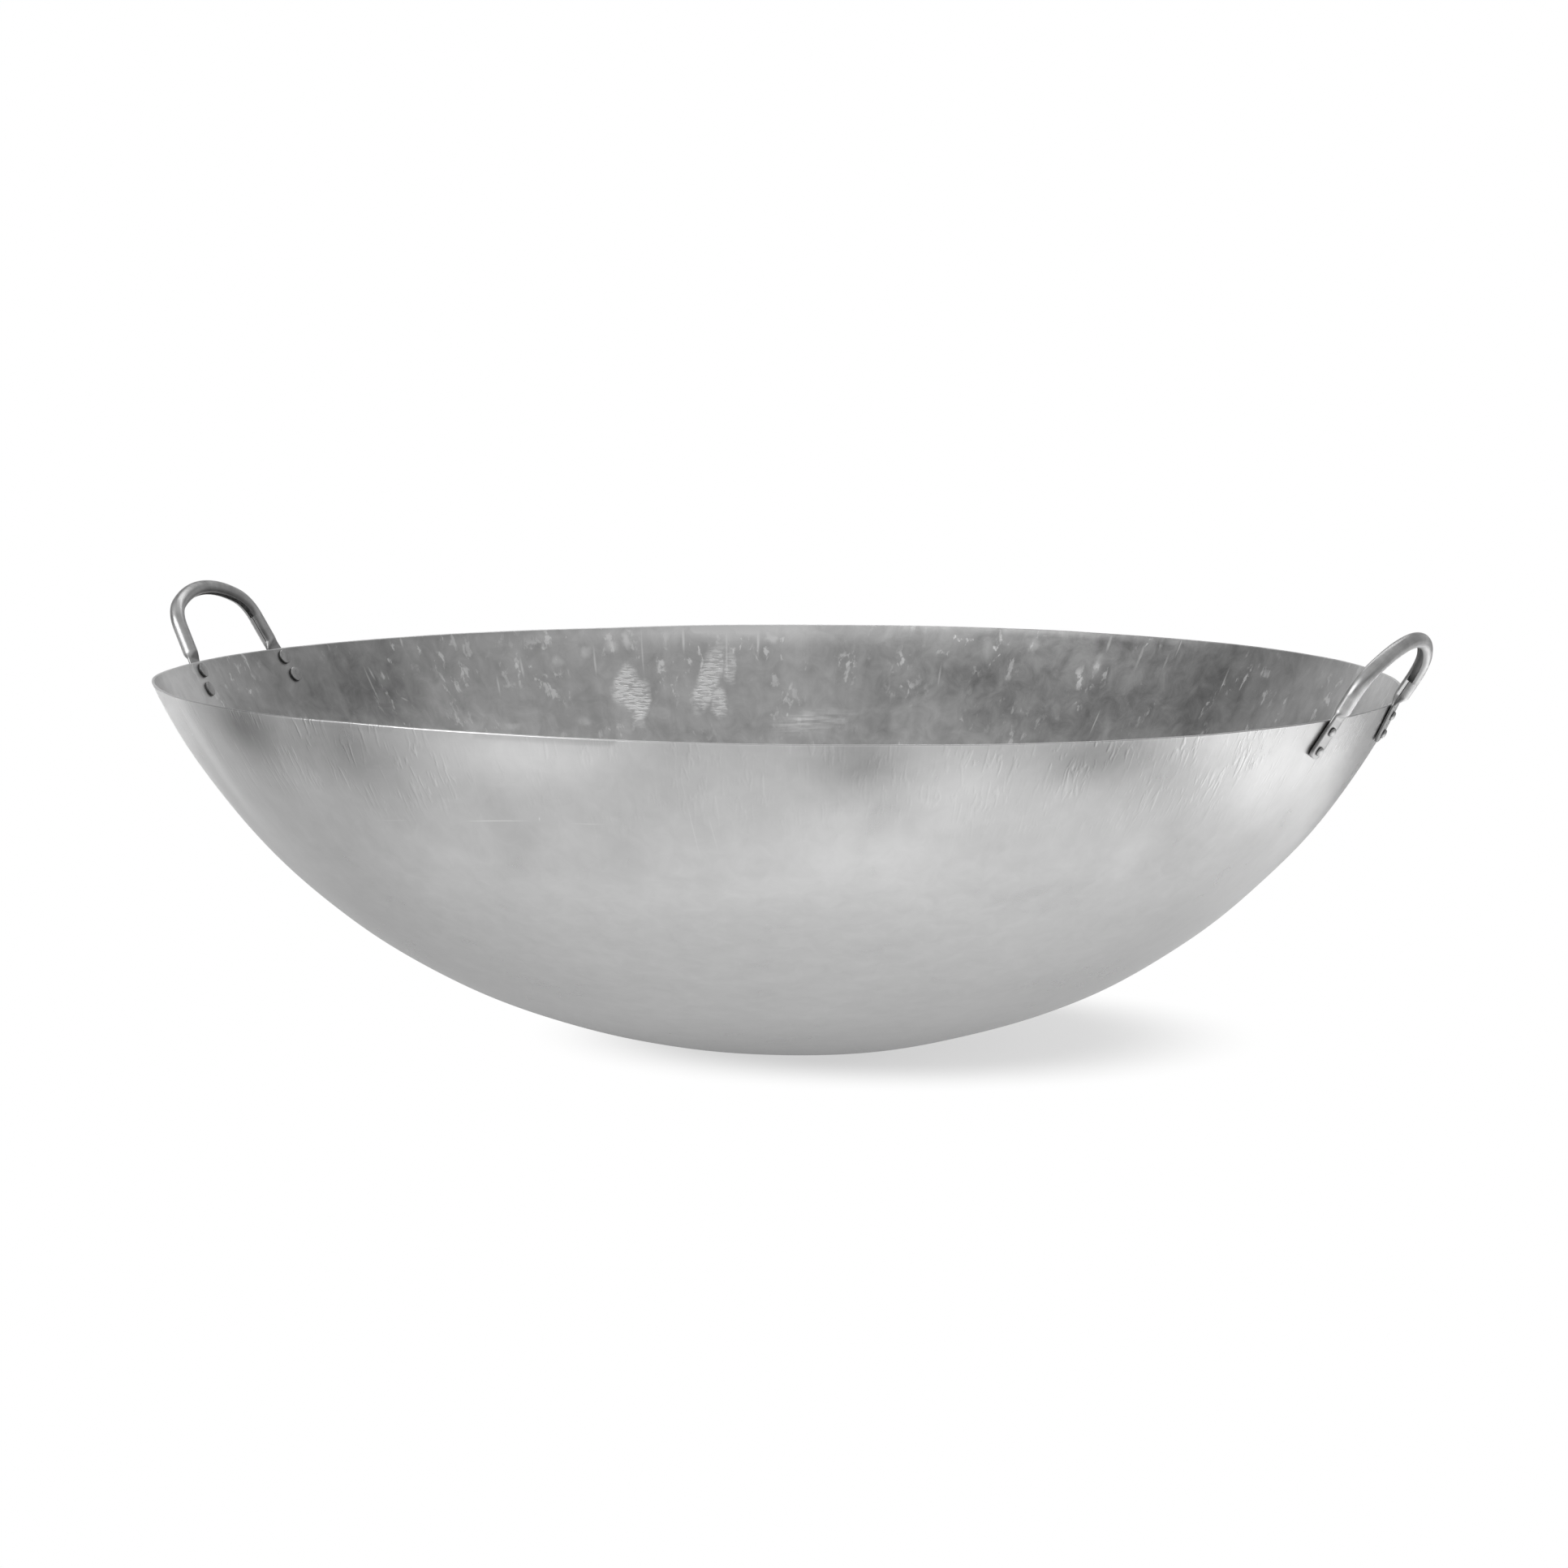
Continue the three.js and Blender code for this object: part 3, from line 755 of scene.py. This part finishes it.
# Pale blotches of scale inside
PALE_BLOTCHES = [
    (131.8, 17, 8, 8, 0, 0.7),
    (130.2, 11, 5, 10, 0, 0.9),
    (134.6, 22, 6, 7, 20, 0.6),
    (137.8, 28, 8, 6, 20, 0.5),
    (122.5, 4, 9, 5, 0, 0.8),
    (115.2, 13, 7, 6, 0, 0.8),
    (92.2, 18, 9, 14, 6, 0.4),
    (87.5, 14, 5, 11, 6, 0.35),
    (79.8, 27, 5, 13, 6, 0.45),
    (136.2, 83, 9, 6, 0, 0.5),
    (145.0, 84, 10, 5, 0, 0.5),
    (113.5, 80.5, 1.8, 2.4, 0, 1.0),
]
# Lines scribed on the outside
SCRIBED_LINES = [
    (-92.5, 72.5, 36, 0.8, 4.3, 1.0),
    (-87.8, 67.8, 0.8, 2.6, -14, 1.0),
    (-104.5, 79.0, 25, 0.7, 4.5, 0.35),
    (-83.0, 69.2, 17, 0.7, 2.0, 0.5),
    (-73.2, 70, 0.8, 34, 6, 0.3),
    (-71.4, 74, 0.8, 22, 9, 0.25),
]

WIPED_PATCH = (110.8, 86, 50, 14, -9)
SMOOTH_FRONT = math.radians(-70)  # the bearing where the rim is least wrinkled
RAGGEDNESS = 9  # how far noise moves the edge of a ragged mark
WRINKLE_SIDE = 1.2  # how far a wrinkle's painted shade lies from its painted highlight


def beaten_steel():
    """Carbon steel sheet, beaten hollow and then ground satin. To the eye it is grey and softly mirrored,
    with cloudy patches where the grinding differs, faint dents, and fine wrinkles that run down from the
    rim, each with a painted highlight on one side and painted shade on the other. The inside keeps more of
    the forge: mottled, with pale flakes, drips and two bands of hammer ripples. Patches of painted shade
    and painted reflection lie over both skins, and a painted highlight along the rim's edge."""
    material, tree = new_material("beaten_carbon_steel")
    wall = stored(tree, "wall", "Vector")
    inside = stored(tree, "inside")
    # Patches of painted shade and painted reflection, as the mesh stores them.
    painted_shade_and_reflection = stored(tree, "painted_shade_and_reflection")
    axes = add(tree, "ShaderNodeSeparateXYZ", inputs={0: wall})
    below = axes.outputs["Z"]

    # The wall unrolled, round the rim and down from it, and again with edges made ragged by noise.
    turn = calc(tree, "ARCTAN2", axes.outputs["Y"], axes.outputs["X"])
    round_rim = calc(tree, "MULTIPLY", turn, RIM_DIAMETER / 2 * MM)
    sheet = add(tree, "ShaderNodeCombineXYZ", inputs={"X": round_rim, "Y": below})
    rag = noise(tree, wall, 9, 3.0).outputs["Color"]
    ragged = vector(tree, "MULTIPLY_ADD", rag, (RAGGEDNESS * MM, RAGGEDNESS * MM, 0), sheet)
    ragged = vector(tree, "SUBTRACT", ragged, (RAGGEDNESS / 2 * MM, RAGGEDNESS / 2 * MM, 0))

    clouds = noise(tree, wall, 105, 3.0, 0.5, 0.4)
    mottle = noise(tree, wall, 17, 5.0, 0.62, 0.6)
    dents = noise(tree, wall, 21, 1.5)

    # Wrinkles from drawing the rim in: five times as long as wide, in clusters, and gone 95 mm below it.
    # Each has a painted highlight and painted shade on its two sides, found by looking up the same noise a
    # little further round the rim.
    drawn = vector(tree, "MULTIPLY", wall, (1, 1, 0.19))
    aside = vector(tree, "CROSS_PRODUCT", (0, 0, 2 * WRINKLE_SIDE / RIM_DIAMETER), drawn)
    beside = vector(tree, "ADD", drawn, aside)
    rim_band = ramp(tree, below, 95 * MM, 15 * MM)
    uneven = ramp(tree, noise(tree, wall, 36, 2.0), 0.4, 0.6, 0.12, 1.0)
    from_front = calc(tree, "ABSOLUTE", calc(tree, "SUBTRACT", turn, SMOOTH_FRONT))
    smooth_front = ramp(tree, from_front, math.radians(14), math.radians(36), 0.3, 1.0)
    wrinkle_and_painted_highlight, wrinkle_painted_shade = (
        blended(
            tree,
            "MULTIPLY",
            [ramp(tree, noise(tree, place, 3.6, 2.5, 0.6, 0.7), 0.5, 0.66), rim_band, uneven, smooth_front],
        )
        for place in (drawn, beside)
    )
    scribed = blended(tree, "MAXIMUM", [mark(tree, sheet, *line, soft=0.9) for line in SCRIBED_LINES])

    # Inside: pale flakes of scale in clumps, most of them near the rim, blotches, and drips that ran down.
    hung = vector(tree, "MULTIPLY", wall, (1, 1, 0.55))
    speck = ramp(tree, noise(tree, hung, 8, 5.0, 0.62, 0.3), 0.56, 0.65)
    clump = ramp(tree, noise(tree, wall, 48, 2.0), 0.46, 0.64, 0.05, 1.0)
    flake_band = ramp(tree, below, 150 * MM, 10 * MM, 0.25, 1.0)
    flakes = blended(tree, "MULTIPLY", [speck, clump, flake_band])
    drips = blended(tree, "MAXIMUM", [mark(tree, sheet, *run, soft=0.9) for run in PALE_RUNS])
    blotches = blended(tree, "MAXIMUM", [mark(tree, ragged, *place, soft=0.8) for place in PALE_BLOTCHES])
    streaks = noise(tree, vector(tree, "MULTIPLY", wall, (1, 1, 0.22)), 26, 4.0, 0.55, 0.5)

    # Hammer ripples, under 2 mm apart and four times as wide, across the bands.
    tilted = add(
        tree,
        "ShaderNodeMapping",
        inputs={"Vector": sheet, "Rotation": (0, 0, math.radians(20)), "Scale": (1, 4.2, 1)},
    )
    ripple = ramp(tree, noise(tree, tilted, 7.5, 2.0, 0.5, 0.3), 0.4, 0.58)
    band = blended(tree, "MAXIMUM", [mark(tree, ragged, *place) for place in RUBBED_BANDS])
    rippled = calc(tree, "MULTIPLY", band, ripple)

    # A wiped patch low on the back: fine lines along its length.
    wiped_way = add(
        tree,
        "ShaderNodeMapping",
        inputs={"Vector": sheet, "Rotation": (0, 0, math.radians(-9)), "Scale": (0.1, 1, 1)},
    )
    wiped_lines = ramp(tree, noise(tree, wiped_way, 2.6, 2.0), 0.36, 0.64, kind="LINEAR")
    wiped = calc(tree, "MULTIPLY", mark(tree, ragged, *WIPED_PATCH, soft=1.0), wiped_lines)

    # How light the steel is: 0 dark, 1 pale.
    calm = ramp(tree, below, 70 * MM, 190 * MM, 0.4, 0.12)
    shade = calc(tree, "MULTIPLY", calc(tree, "SUBTRACT", clouds, 0.5), calm)
    # A painted highlight along the rim's filed edge, outside and in.
    rim_painted_highlight = ramp(tree, below, 1.6 * MM, 0.2 * MM)
    # Both levels start from the patches of painted shade and painted reflection.
    outside_level = summed(
        tree,
        painted_shade_and_reflection,
        [
            (shade, 1.0),
            (mottle, 0.16),
            (wrinkle_and_painted_highlight, 0.21),
            (wrinkle_painted_shade, -0.17),
            (scribed, 0.2),
            (rim_painted_highlight, 0.35),
        ],
    )
    inside_level = summed(
        tree,
        painted_shade_and_reflection,
        [
            (clouds, 0.44),
            (streaks, 0.3),
            (mottle, 0.5),
            (flakes, 0.42),
            (blotches, 0.34),
            (drips, 0.4),
            (band, 0.18),
            (rippled, 0.36),
            (wiped, 0.4),
            (rim_painted_highlight, 0.25),
        ],
    )
    outside_level = calc(tree, "ADD", outside_level, 0.45)
    inside_level = calc(tree, "ADD", inside_level, -0.12)
    level = between(tree, inside, outside_level, inside_level)
    colour = tinted(tree, level, "#6a6a6a", "#f7f7f7")

    outside_gloss = summed(tree, 0.2, [(clouds, 0.1), (mottle, 0.1)])
    inside_gloss = summed(tree, 0.28, [(clouds, 0.12), (mottle, 0.14), (flakes, 0.12)])
    gloss = between(tree, inside, outside_gloss, inside_gloss)
    outside_height = summed(tree, 0.0, [(dents, 0.3), (wrinkle_and_painted_highlight, 0.16), (mottle, 0.06), (scribed, 0.05)])
    inside_height = summed(
        tree, 0.0, [(dents, 0.36), (mottle, 0.14), (flakes, 0.08), (drips, 0.12), (rippled, 0.16)]
    )
    height = between(tree, inside, outside_height, inside_height)
    bare_metal(tree, colour, gloss, height, 1.0)
    return material


def rolled_steel():
    """Sheet steel drawn through rolls into a tube: smooth and half polished, with faint lines along it, dull
    patches from the hand, painted shade along the seam, duller pressed feet and an unpolished hollow."""
    material, tree = new_material("rolled_half_polished_steel")
    along = stored(tree, "along", "Vector")
    hollow = stored(tree, "hollow")
    drawn = vector(tree, "MULTIPLY", along, (1, 1, 0.05))
    lines = noise(tree, drawn, 1.6, 2.0)
    patches = noise(tree, along, 11, 4.0, 0.6)
    skin = ramp(tree, calc(tree, "ADD", lines, patches), 0.7, 1.3, kind="LINEAR")
    bright = tinted(tree, skin, "#b4b4b4", "#dfdfdf")
    dulled = tinted(tree, stored(tree, "pressed"), bright, "#b2b2b2")
    # Painted shade along the seam.
    crevice_shade_level = calc(tree, "MULTIPLY", stored(tree, "painted_crevice_shade"), 0.45)
    with_crevice_shade = tinted(tree, crevice_shade_level, dulled, "#5c5c5c")
    colour = tinted(tree, hollow, with_crevice_shade, "#d4d4d4")
    worn = ramp(tree, patches, 0.3, 0.7, 0.3, 0.42, "LINEAR")
    gloss = between(tree, hollow, worn, 0.6)
    relief = calc(tree, "MULTIPLY_ADD", lines, 0.12, patches)
    bare_metal(tree, colour, gloss, relief, 0.025)
    return material


def rivet_steel():
    """Plain steel wire with pressed heads: smooth, a little dull, with the small dings of the setting tool
    and painted shade round each head."""
    material, tree = new_material("headed_rivet_steel")
    place = add(tree, "ShaderNodeTexCoord").outputs["Object"]
    dings = noise(tree, place, 3.2, 3.0)
    clean = tinted(tree, dings, "#989898", "#d8d8d8")
    # Painted shade round the foot of each head.
    colour = tinted(tree, stored(tree, "painted_crevice_shade"), clean, "#343434")
    gloss = ramp(tree, dings, 0.3, 0.7, 0.26, 0.42, "LINEAR")
    bare_metal(tree, colour, gloss, dings, 0.12)
    return material


bowl(beaten_steel())
handle_finish = rolled_steel()
rivet_finish = rivet_steel()
for side, turned, feet in (
    ("right", 1, FEET),
    ("left", -1, {"front": FEET["back"], "back": FEET["front"]}),
):
    handle(f"handle_{side}", BENDS[side], turned, handle_finish)
    for foot_name, foot in feet.items():
        for row, drop in RIVET_ROWS.items():
            rivet(f"rivet_{side}_{foot_name}_{row}", foot, drop, turned, rivet_finish)


# Studio, in metres
SWEEP_FRONT = -4
SWEEP_BACK = 7
SWEEP_RADIUS = 3
SWEEP_HALF_WIDTH = 4
LEVEL_ROWS = 40
CURVED_ROWS = 16
SWEEP_COLUMNS = 30
PAINTED_POOL_RIGHT = 0.68  # a painted pool of light on the paper, on the wok's right
PAINTED_POOL_BACK = -0.02
PAINTED_POOL_SQUEEZE = 2.2  # how much longer it is than wide
PAINTED_POOL_GAIN = 0.55  # how much brighter than white it is at most


def studio_point(right, back, height):
    """A point given as the camera sees it: metres to its right, away from it and up."""
    c, s = math.cos(VIEW_BEARING), math.sin(VIEW_BEARING)
    return Vector((right * c - back * s, right * s + back * c, height))


def white_paper():
    """Matt white paper. To the camera it is white but for a patch that keeps the wok's shadow. In steel it
    is white round the wok and, as painted shade, greyer elsewhere, with a painted pool of light on the right."""
    material, tree = new_material("white_paper_sweep")
    path = add(tree, "ShaderNodeLightPath")
    place = add(tree, "ShaderNodeTexCoord").outputs["Object"]
    # The shadow lies to the right of the wok's base.
    seen = ramp(tree, measure(tree, "DISTANCE", place, studio_point(0.09, 0.06, 0)), 0.14, 0.28, 0.56, 1.0)
    # In the steel the paper's glow is turned down under the wok, far off, on the left and behind, so there it
    # shows more of its own lit grey: painted shade in what the steel mirrors.
    distance = measure(tree, "LENGTH", place)
    under = ramp(tree, distance, 0.08, 0.38, 0.42, 1.0)
    far = ramp(tree, distance, 0.4, 0.95, 1.0, 0.06)
    rightward = measure(tree, "DOT_PRODUCT", place, studio_point(1, 0, 0))
    left = ramp(tree, rightward, -0.6, 0.05, 0.5, 1.0)
    backward = measure(tree, "DOT_PRODUCT", place, studio_point(0, 1, 0))
    beside = ramp(tree, backward, -0.3, 0.05, 1.0, 0.5)
    level_part = blended(tree, "MULTIPLY", [under, far, left, beside])
    height = add(tree, "ShaderNodeSeparateXYZ", inputs={0: place}).outputs["Z"]
    upright = ramp(tree, height, 0.1, 0.9, 0.0, 0.55)
    # Where the painted pool lies, the steel sees only the paper's glow.
    painted_pool_share = ramp(tree, measure(tree, "DISTANCE", place, studio_point(0.67, -0.06, 0)), 0.44, 0.16)
    paper_light = blended(tree, "MAXIMUM", [level_part, upright, painted_pool_share])
    reflected = calc(tree, "MAXIMUM", path.outputs["Is Glossy Ray"], path.outputs["Is Transmission Ray"])
    in_metal = calc(tree, "MULTIPLY", reflected, paper_light)
    share = calc(tree, "MULTIPLY_ADD", path.outputs["Is Camera Ray"], seen, in_metal)
    # A painted pool of light: a long patch of the paper on the wok's right glows brighter than white to the
    # steel, which mirrors it beside the handle.
    across = calc(tree, "MULTIPLY_ADD", rightward, PAINTED_POOL_SQUEEZE, -PAINTED_POOL_SQUEEZE * PAINTED_POOL_RIGHT)
    endwise = calc(tree, "SUBTRACT", backward, PAINTED_POOL_BACK)
    from_patch = add(tree, "ShaderNodeCombineXYZ", inputs={"X": across, "Y": endwise})
    painted_pool = ramp(tree, measure(tree, "LENGTH", from_patch), 0.42, 0.1, 0.0, PAINTED_POOL_GAIN)
    glow_level = calc(tree, "ADD", calc(tree, "MULTIPLY", reflected, painted_pool), 1.0)
    paper = add(tree, "ShaderNodeBsdfDiffuse", inputs={"Color": linear("#f2f2f2")})
    glow = add(tree, "ShaderNodeEmission", inputs={"Color": (1, 1, 1, 1), "Strength": glow_level})
    mixed = add(tree, "ShaderNodeMixShader", inputs={0: share, 1: paper, 2: glow})
    add(tree, "ShaderNodeOutputMaterial", inputs={"Surface": mixed})
    return material


def floor():
    """A white sweep: a level floor that turns up behind the object along a quarter circle."""
    turn = np.linspace(0, math.pi / 2, CURVED_ROWS)[1:]
    level = np.linspace(SWEEP_FRONT, SWEEP_BACK, LEVEL_ROWS)
    along = np.concatenate([level, SWEEP_BACK + SWEEP_RADIUS * np.sin(turn)])
    rise = np.concatenate([np.zeros(LEVEL_ROWS), SWEEP_RADIUS * (1 - np.cos(turn))])
    wide = np.linspace(-SWEEP_HALF_WIDTH, SWEEP_HALF_WIDTH, SWEEP_COLUMNS)
    c, s = math.cos(VIEW_BEARING), math.sin(VIEW_BEARING)
    x = wide[None, :] * c - along[:, None] * s
    y = wide[None, :] * s + along[:, None] * c
    z = rise[:, None] + 0 * wide[None, :]
    points = np.stack([x, y, z], axis=-1).reshape(-1, 3)
    first = np.arange(len(along) - 1)[:, None] * len(wide) + np.arange(len(wide) - 1)[None, :]
    first = first.ravel()
    quads = np.stack([first, first + 1, first + 1 + len(wide), first + len(wide)], axis=-1)
    mesh = bpy.data.meshes.new("sweep")
    mesh.from_pydata(points.tolist(), [], quads.tolist())
    mesh.shade_smooth()
    mesh.materials.append(white_paper())
    made = bpy.data.objects.new("sweep", mesh)
    bpy.context.collection.objects.link(made)


def softbox(name, place, aim, width, height, power, in_steel=True):
    """A rectangular lamp that faces a point. One that isn't in the steel has no mirror image there."""
    lamp = bpy.data.lights.new(name, "AREA")
    lamp.shape = "RECTANGLE"
    lamp.size, lamp.size_y, lamp.energy = width, height, power
    made = bpy.data.objects.new(name, lamp)
    bpy.context.collection.objects.link(made)
    made.location = place
    made.rotation_euler = (aim - place).to_track_quat("-Z", "Y").to_euler()
    made.visible_glossy = in_steel


def room():
    """Light from all round: brightest from above the camera, dark low down behind it, and pale low down
    behind the wok, where the backdrop stands. To the camera itself it is white."""
    world = bpy.data.worlds.new("studio_room")
    bpy.context.scene.world = world
    world.use_nodes = True
    tree = world.node_tree
    tree.nodes.clear()
    ray = add(tree, "ShaderNodeTexCoord").outputs["Generated"]
    facing = measure(tree, "DOT_PRODUCT", ray, studio_point(0.1, -0.75, 0.65).normalized())
    level = ramp(tree, facing, -0.6, 0.9, 0.22, 0.5)
    height = add(tree, "ShaderNodeSeparateXYZ", inputs={0: ray}).outputs["Z"]
    low = ramp(tree, height, 0.5, 0.1, 0.0, 0.75)
    forward = measure(tree, "DOT_PRODUCT", ray, studio_point(0, -1, 0))
    front = ramp(tree, forward, 0.1, 0.6)
    kept = calc(tree, "SUBTRACT", 1.0, calc(tree, "MULTIPLY", low, front))
    behind = ramp(tree, forward, -0.55, -0.85, 0.0, 0.4)
    backdrop = calc(tree, "MULTIPLY", low, behind)
    level = calc(tree, "ADD", calc(tree, "MULTIPLY", level, kept), backdrop)
    seen = add(tree, "ShaderNodeLightPath").outputs["Is Camera Ray"]
    strength = between(tree, seen, level, 1.0)
    light = add(tree, "ShaderNodeBackground", inputs={"Color": (1, 1, 1, 1), "Strength": strength})
    add(tree, "ShaderNodeOutputWorld", inputs={"Surface": light})


def camera():
    """The camera on its bearing and elevation, turned about its own place by pitch, yaw and roll."""
    lens = bpy.data.cameras.new("camera")
    lens.lens = LENS
    lens.clip_end = 60
    made = bpy.data.objects.new("camera", lens)
    bpy.context.collection.objects.link(made)
    aim = Vector((0, 0, VIEW_AIM))
    level = VIEW_DISTANCE * math.cos(VIEW_ELEVATION)
    place = studio_point(0, -level, VIEW_AIM + VIEW_DISTANCE * math.sin(VIEW_ELEVATION))
    turn = (aim - place).to_track_quat("-Z", "Y").to_matrix().to_4x4()
    yaw = Matrix.Rotation(-VIEW_YAW, 4, "Y")
    pitch = Matrix.Rotation(VIEW_PITCH, 4, "X")
    roll = Matrix.Rotation(VIEW_ROLL, 4, "Z")
    made.matrix_world = Matrix.Translation(place) @ turn @ (yaw @ pitch @ roll)
    bpy.context.scene.camera = made


floor()
room()
paper_at = studio_point(0.69, -0.03, 0.16)
left_paper_at = studio_point(-0.8, 0.95, 0.35)
softbox("paper_lamp", paper_at, studio_point(0.67, -0.03, 0), 0.66, 0.08, 1.8, in_steel=False)
softbox("left_paper_lamp", left_paper_at, studio_point(-0.78, 0.95, 0), 0.35, 0.35, 1.3, in_steel=False)
softbox("strip_light", studio_point(0.1, 0.9, 1.5), Vector((0, 0, 0.25)), 1.4, 0.4, 3)
softbox("left_panel", studio_point(-3.0, -1.7, 1.5), Vector((0, 0, 0.2)), 3.0, 2.0, 42)
camera()
bpy.context.scene.view_settings.view_transform = "Standard"
